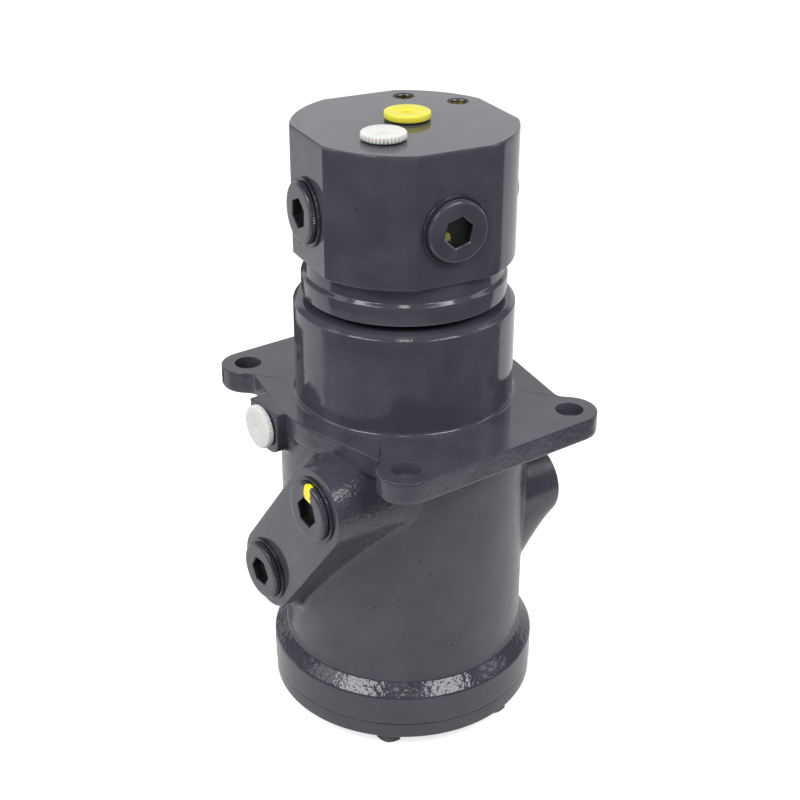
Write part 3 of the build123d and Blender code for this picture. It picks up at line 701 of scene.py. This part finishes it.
def port_pad(name, first, last, root, ramp=0.0):
    """The slotted pad round two ports."""
    a, b = on_face(first), on_face(last)
    ring, core = slotted(np.linalg.norm(b - a), 27.0, math.atan2(*(b - a)[::-1]))
    pad(name, first[0], (a + b) / 2, ring, core, root, ramp=ramp)


port_pad("housing_left_pad", ports[1], ports[2], 11.0)
port_pad("housing_right_pad", ports[3], ports[4], 7.0, ramp=0.9)
boss_ring = rounded_box(32.0, 29.5, (9.0, 0.6, 0.6, 9.0)) + (0, -1.77)
pad("housing_pilot_boss", pilot_face, on_face(pilot_port), boss_ring, boss_ring * 0, 5.0, draft=1.5,
    hole=small_port, level_top=True)
drain_ring = arc((0, 0), 17.0, 0, 2 * math.pi)
pad("housing_drain_boss", drain_face, on_face(drain_port), drain_ring, drain_ring * 0, 4.0, hole=small_port)

# ---- thread in the tapped holes ----


def thread_grid(place):
    """Sleeve with a right-hand thread inside: r = R - 0.54 pitch |2 frac(h / pitch + f / 2 pi) - 1|, for
    f round the axis and h down the hole, closed by a plain outside of radius R + 0.1."""
    h = np.arange(1.2, tap_depth, tap_pitch / 8)
    f = right_round(48)
    phase = np.mod(h[:, None] / tap_pitch + f[None] / (2 * np.pi), 1.0)
    r = tap_radius - 0.54 * tap_pitch * np.abs(2 * phase - 1)
    plain = np.full((1, len(f)), tap_radius + 0.1)
    r = np.vstack([plain, r, plain, plain])
    h = np.concatenate([h[:1], h, h[-1:], h[:1]])
    return np.stack([place[0] + r * np.cos(f), place[1] + r * np.sin(f),
                     np.broadcast_to(head_top - h[:, None], r.shape)], axis=-1)


piece("lock_tap_threads", [thread_grid(place) for place in tapped_places], "spindle", [passivated_thread],
      sharp=60.0)

# ---- screw plugs on bonded seals ----

# 72 teeth: the real knurl is finer and wouldn't show.
plug_teeth, plug_columns = 72, 432
half_hexagon = 8.5
seal_profile = along([(17.0, 0.05), (21.5, 0.05), (21.5, 2.0), (18.4, 2.0), (17.6, 1.7), (17.0, 1.0),
                      (17.0, 0.05)], [0.2, 0.45, 0.3, 0.3, 0.3])


def hexagon_of(f, half_flats):
    """Radius of a hexagon at the angles f: r = a / cos(f mod 60 - 30 degrees)."""
    return half_flats / np.cos(np.mod(f, math.pi / 3) - math.pi / 6)


def stacked(origin, normal, rim, rows):
    """Rings P = origin + r(f) rim(f) + h N, one for each (r, h)."""
    return np.stack([np.asarray(origin, float) + r[:, None] * rim + h * np.asarray(normal, float)
                     for r, h in rows])


def plug_grid(origin, normal, first, hexagon_turn):
    """A screw plug and the finish of its bands. Every ring has radius r(f) at height h: the rim is
    knurled, r = R - d (0.5 + 0.5 cos(72 f)), and the socket is a hexagon, 5.6 mm deep."""
    start = math.radians(hexagon_turn)
    f = start + right_round(plug_columns)
    tooth = 0.5 + 0.5 * np.cos(plug_teeth * f)
    hexagon = hexagon_of(f - start, half_hexagon)
    foot = ((0.0, 0.12), (16.4, 0.12), (16.4, 2.2), (17.6, 2.2), (18.1, 2.6))
    knurl = ((0.1, 2.8), (0.5, 3.0), (0.5, 3.8), (0.5, 4.5), (0.15, 4.8))
    shoulder = ((19.1, 5.0), (18.7, 5.5), (18.2, 5.85), (17.8, 6.0), (15.5, 6.0))
    socket = ((2.5, 6.0), (0.75, 6.0), (0.2, 5.7), (0, 5.4), (0, 3.0), (0, 0.6))
    rows = [(np.full_like(f, r), h) for r, h in foot]
    rows += [(19.25 - depth * tooth, h) for depth, h in knurl]
    rows += [(np.full_like(f, r), h) for r, h in shoulder]
    rows += [(hexagon + wider, h) for wider, h in socket]
    rows += [(hexagon * 0.9, 0.5), (np.zeros_like(f), 0.4)]
    # Rows down in the socket take the second finish: black oxide with painted shade.
    finish = [int(min(low[1], high[1]) < 5.4 and low[0].max() < 12) for low, high in zip(rows[:-1], rows[1:])]
    finish[0] = 0
    return stacked(origin, normal, rim_directions(normal, first, f), rows), finish


def side_frame(face):
    """Normal of a side face of the housing and the direction to the right on it, seen from outside."""
    side = math.copysign(1, face)
    return (side, 0, 0), (0, side, 0)


def head_frame(turn):
    """The same two directions for a flat of the head."""
    return polar(turn, 1.0), polar(turn + 90, 1.0)


def plug_on_seal(part, number, place, turned_by, skin, socket):
    """The screw plug in a port of the head or the housing, and the bonded seal under it."""
    body = "spindle" if part == "head" else part
    plug, bands = plug_grid(*place, turned_by)
    piece(f"{part}_plug_{number}", [plug], body, [skin, socket],
          (f"{part}_port_{number}_plug",), sharp=24.0, bands=[bands])
    piece(f"{part}_seal_{number}", [turned_grid(seal_profile, 160, *place)], body, [enamel_on_seals],
          (f"{part}_port_{number}_seal",), sharp=40.0)


for number, hexagon_turn in {1: 8, 2: 40, 3: 25, 4: 17}.items():
    turn = head_turn + 90 * (number - 1)
    plug_on_seal("head", number, (polar(turn, head_flat, port_height), *head_frame(turn)), hexagon_turn,
                 enamel_on_fasteners, oxide_and_painted_shade_marked_faintly if number == 4 else oxide_and_painted_shade_in_socket)
for number, hexagon_turn in {1: 47, 2: 0, 3: 33, 4: 52}.items():
    plug_on_seal("housing", number, (ports[number], *side_frame(ports[number][0])), hexagon_turn,
                 plug_marked_yellow if number == 1 else enamel_on_fasteners, oxide_and_painted_shade_in_socket)

# ---- plastic caps ----

cap_top = 5.15
stem_profile = ((10.2, 1.0), (10.2, -10.4), (9.6, -11.0), (8.4, -11.0), (8.2, 1.2), (0.0, 1.2))


def cap_grid(origin, normal, first, radius, teeth, depth, edge, dish):
    """A push-in cap: a disc with a rounded top edge and a serrated rim, r = R - d (0.5 + 0.5 cos(n f))
    with d growing to depth at its foot, on a hollow stem. dish is the profile of its middle."""
    f = right_round(448)
    tooth = 0.5 + 0.5 * np.cos(teeth * f)
    rows = [(r, h, 0.0) for r, h in dish]
    for t in np.linspace(0, math.pi / 2, 8):
        rows.append((radius - edge * (1 - math.sin(t)), cap_top - edge * (1 - math.cos(t)),
                     depth * 0.85 * math.sin(t)))
    rows += [(radius, 2.4, depth * 0.9), (radius, 1.5, depth), (radius - 0.25, 1.15, depth)]
    rows += [(r, h, 0.0) for r, h in ((radius - 1.0, 1.0), *stem_profile)]
    rows = [(r - notch * tooth, h) for r, h, notch in rows]
    return stacked(origin, normal, rim_directions(normal, first, f), rows)


smooth_dish = [(0.0, 4.3), (0.8, 4.3), (1.1, 4.9), (1.5, 5.02), (5.0, 5.1), (9.0, cap_top)]
deep_dish = [(0.0, 2.6), (3.2, 2.6), (3.8, 2.9), (4.1, 4.2), (4.7, 4.45), (6.2, 4.6), (7.4, 5.0),
             (8.4, cap_top)]
# A black ring in the gap under each cap: painted shade of that gap.
gap_shade_ring = along([(10.3, 0.05), (12.9, 0.05), (12.9, 0.95), (10.3, 0.95), (10.3, 0.05)], [0.4, 0.4, 0])
head_cap_frame = ((0, 0, 1), polar(diagonal, 1.0))
white, yellow = (smooth_dish, white_cap, "white_cap_plastic"), (deep_dish, yellow_cap, "yellow_cap_plastic")
# For each cap: its place and directions, then radius, teeth, their depth and the radius of its edge.
cap_places = {
    "pilot_top_cap": ((top_ports[0], *head_cap_frame), (13.9, 36, 1.3, 1.3), white),
    "drain_top_cap": ((top_ports[1], *head_cap_frame), (14.4, 56, 0.0, 0.9), yellow),
    "pilot_side_cap": ((pilot_port, *side_frame(pilot_face)), (14.4, 56, 1.0, 0.9), white),
    "drain_side_cap": ((drain_port, *side_frame(drain_face)), (14.4, 56, 0.0, 0.9), yellow),
}
for name, (place, shape, (dish, finish, slot)) in cap_places.items():
    piece(f"{name}_moulding", [cap_grid(*place, *shape, dish)], name, [finish], (name,), sharp=50.0)
    piece(f"{name}_gasket", [turned_grid(gap_shade_ring, 120, *place)], name, [nitrile])

# ---- bottom cover, its washers and bolts ----

cover = along([(0, -206.5), (65.9, -206.5), (65.9, -208.8), (90.6, -208.8), (90.6, -220), (0, -220)],
              [0, 0, 0.9, 1.0], 0.2)
piece("bottom_cover_plate", [turned_grid(spaced(cover, 9.0), 240)], "housing", [enamel_on_rim],
      ("bottom_cover",), sharp=35.0)


bolt_low, bolt_high, bolt_flats, bolt_orbit = -228.4, -222.0, 16.0, 78.0


def hexagon_head(place, turn):
    """A bolt's head: the prism r = a / cos(f mod 60 - 30 degrees), cut by the cone of its 30 degree
    chamfer, r <= a + (h - low) / tan 30 degrees."""
    f, half = right_round(72), bolt_flats / 2
    prism = hexagon_of(f, half)
    rows = [(np.zeros_like(f), bolt_low), (np.full_like(f, half - 1.2), bolt_low)]
    rows += [(np.minimum(prism, half - 0.4 + (h - bolt_low) / math.tan(math.radians(30))), h)
             for h in np.linspace(bolt_low, bolt_low + 1.3, 6)]
    rows += [(prism, bolt_low + 2.5), (prism, bolt_high), (np.zeros_like(f), bolt_high)]
    return stacked(place, (0, 0, 1), rim_directions((0, 0, 1), (1, 0, 0), f + math.radians(turn)), rows)


bolt_places = [polar(-13.0 + 60 * k, bolt_orbit) for k in range(6)]
piece("cover_bolt_heads", [hexagon_head(place, 11 + 23 * k) for k, place in enumerate(bolt_places)],
      "housing", [enamel_on_fasteners], ("cover_bolts",), sharp=24.0)
washer = along([(5.3, -222), (9.0, -222), (9.0, -220.02), (5.3, -220.02), (5.3, -222)], [0.3, 0.3, 0])
piece("cover_washers", [turned_grid(washer, 64, place) for place in bolt_places], "housing",
      [enamel_on_fasteners], ("cover_bolt_washers",), sharp=40.0)

# ==== floor, light and camera ====


def white_paper():
    """Seamless studio paper: matt white, and plain white to the eye where no shadow falls."""
    material, points = begin("white_studio_paper")
    fibres = put(material, "ShaderNodeTexNoise", {"Scale": 1 / 3, "Detail": 3.0}, {"Vector": points})
    relief = put(material, "ShaderNodeBump", {"Strength": 0.2, "Distance": 0.02 * MM},
                 {"Height": fibres.outputs[0]})
    matt = put(material, "ShaderNodeBsdfDiffuse", {"Color": (0.6, 0.6, 0.6, 1)},
               {"Normal": relief.outputs[0]})
    path = put(material, "ShaderNodeLightPath")
    mirrored = put(material, "ShaderNodeMath", {1: 0.5}, {0: path.outputs["Is Glossy Ray"]},
                   operation="MULTIPLY")
    seen = put(material, "ShaderNodeMath", links={0: path.outputs["Is Camera Ray"], 1: mirrored.outputs[0]},
               operation="MAXIMUM")
    lift = put(material, "ShaderNodeMath", {1: 0.75}, {0: seen.outputs[0]}, operation="MULTIPLY")
    glow = put(material, "ShaderNodeEmission", {"Color": (1, 1, 1, 1)}, {"Strength": lift.outputs[0]})
    both = put(material, "ShaderNodeAddShader", links={0: matt.outputs[0], 1: glow.outputs[0]})
    return finish_material(material, both)


floor_z = cad_box[0][2]
reach = 7.0
floor_mesh = bpy.data.meshes.new("floor")
floor_mesh.from_pydata([(-reach, -reach, floor_z), (reach, -reach, floor_z), (reach, reach, floor_z),
                        (-reach, reach, floor_z)], [], [(0, 1, 2, 3)])
floor_mesh.materials.append(white_paper())
floor = shown("floor", floor_mesh)

world = bpy.data.worlds.new("studio")
world.use_nodes = True
world.node_tree.nodes.clear()
path = put(world, "ShaderNodeLightPath").outputs
mirrored = put(world, "ShaderNodeMath", links={0: path["Is Glossy Ray"], 1: path["Is Transmission Ray"]},
               operation="MAXIMUM")
seen = put(world, "ShaderNodeMath", links={0: path["Is Camera Ray"], 1: mirrored.outputs[0]},
           operation="MAXIMUM")
level = put(world, "ShaderNodeMapRange", {"To Min": 0.5, "To Max": 1.0}, {"Value": seen.outputs[0]})
sky = put(world, "ShaderNodeBackground", {"Color": (1, 1, 1, 1)}, {"Strength": level.outputs[0]})
put(world, "ShaderNodeOutputWorld", links={"Surface": sky.outputs[0]})
bpy.context.scene.world = world

# The camera looks along towards, with right level; ahead is its direction over the floor.
towards = Vector((0.5289, 0.7148, -0.4576)).normalized()
right = Vector((0.8039, -0.5948, 0.0)).normalized()
up = right.cross(towards).normalized()
ahead = Vector((towards.x, towards.y, 0)).normalized()


def softbox(name, side, forward, height, width, tall, radiance, colour=(1, 1, 1)):
    """Area lamp at so many metres right of, beyond and above the object, turned to its middle."""
    lamp = bpy.data.lights.new(name, "AREA")
    lamp.shape, lamp.size, lamp.size_y = "RECTANGLE", width, tall
    lamp.energy = radiance * math.pi * width * tall
    lamp.color = colour
    box = shown(name, lamp)
    place = right * side + ahead * forward + Vector((0, 0, height))
    box.matrix_world = Matrix.Translation(place) @ (-place).to_track_quat("-Z", "Y").to_matrix().to_4x4()
    box.visible_camera = False


def cloth_panel(name, start, stop, near, far, cloth):
    """Studio cloth on a curved frame, from start to stop degrees right of the camera. Only reflections
    show it: P(f, t) = r(t) (towards the camera turned by f) + z(t) Z, with (r, z) from near to far in
    metres."""
    columns, rows = 32, 12
    f = np.radians(np.linspace(start, stop, columns))[:, None, None]
    r, z = (np.linspace(a, b, rows)[None, :, None] for a, b in zip(near, far))
    grid = r * (np.cos(f) * -np.array(ahead) + np.sin(f) * np.array(right)) + z * np.array((0, 0, 1.0))
    index = np.arange(columns * rows).reshape(columns, rows)
    quads = np.stack([index[:-1, :-1], index[1:, :-1], index[1:, 1:], index[:-1, 1:]], axis=-1).reshape(-1, 4)
    mesh = bpy.data.meshes.new(name)
    mesh.from_pydata(grid.reshape(-1, 3), [], quads.tolist())
    mesh.materials.append(cloth)
    panel = shown(name, mesh)
    panel.visible_camera = panel.visible_diffuse = panel.visible_shadow = False


# Molton stage cloth, woven and brushed to a nap without gloss: black, and two greys.
black_cloth = moulded("black_molton_cloth", "#3c3d42", "#303136", 0.9, 0.1)
dim_cloth = moulded("dark_grey_molton_cloth", "#707176", "#66676c", 0.9, 0.1)
grey_cloth = moulded("grey_molton_cloth", "#d2d3d6", "#c8c9cc", 0.9, 0.1)
# The camera looks down, so walls mirror what lies lower than themselves: the head shows the close
# panels above the knee, the collar those below it, and the barrel the floor.
knee, near_top = -0.155, 0.1
low, high = ((0.5, floor_z), (0.5, knee)), ((0.5, knee), (0.5, near_top))
on_floor = ((0.105, floor_z + 0.001), (0.15, floor_z + 0.001))
for name, start, stop, ends, cloth in (
        ("left_panel", -86, -15, high, black_cloth),
        ("middle_panel", -15, 10, high, dim_cloth),
        ("right_panel", 10, 110, high, black_cloth),
        ("low_left_panel", -86, 22, low, grey_cloth),
        ("low_right_panel", 22, 110, low, dim_cloth),
        ("rear_left_panel", -176, -122, low, black_cloth),
        ("high_rear_panel", -176, -141, high, black_cloth),
        ("floor_panel", -160, -105, on_floor, dim_cloth),
        ("wall_panel", -135, 135, ((2.4, 0.35), (2.0, 1.6)), dim_cloth),
        ("ceiling_panel", -180, 180, ((2.0, 1.6), (0.0, 2.2)), dim_cloth)):
    cloth_panel(name, start, stop, *ends, cloth)
softbox("left_softbox", -1.3, -0.25, 0.5, 0.5, 1.3, 2.0)
softbox("right_softbox", 1.3, 0.1, 0.4, 0.4, 1.2, 2.0)
softbox("rear_softbox", 0.0, 0.5, 1.4, 1.2, 0.9, 0.6)
# The keys put the thin highlights on chamfers and fillets.
for name, side in (("left_key", -0.78), ("right_key", 0.78)):
    softbox(name, side, -0.73, 1.07, 0.7, 0.42, 9.0)
softbox("middle_key", 0.0, -0.72, 1.3, 0.2, 0.26, 7.0, (1.0, 0.97, 0.82))

tip = math.radians(-0.16)  # the camera leans a little to one side
leaning_right = right * math.cos(tip) - up * math.sin(tip)
leaning_up = right * math.sin(tip) + up * math.cos(tip)
camera_data = bpy.data.cameras.new("camera")
camera_data.sensor_width = 36.0
camera_data.lens = 66.6
camera_data.clip_start, camera_data.clip_end = 0.05, 50.0
camera = shown("camera", camera_data)
camera_place = Vector((-0.5208, -0.6998, 0.4379))
camera_axes = (leaning_right, leaning_up, -towards, camera_place)
camera.matrix_world = Matrix((*zip(*camera_axes), (0, 0, 0, 1)))
bpy.context.scene.camera = camera
bpy.context.scene.view_settings.view_transform = "Standard"
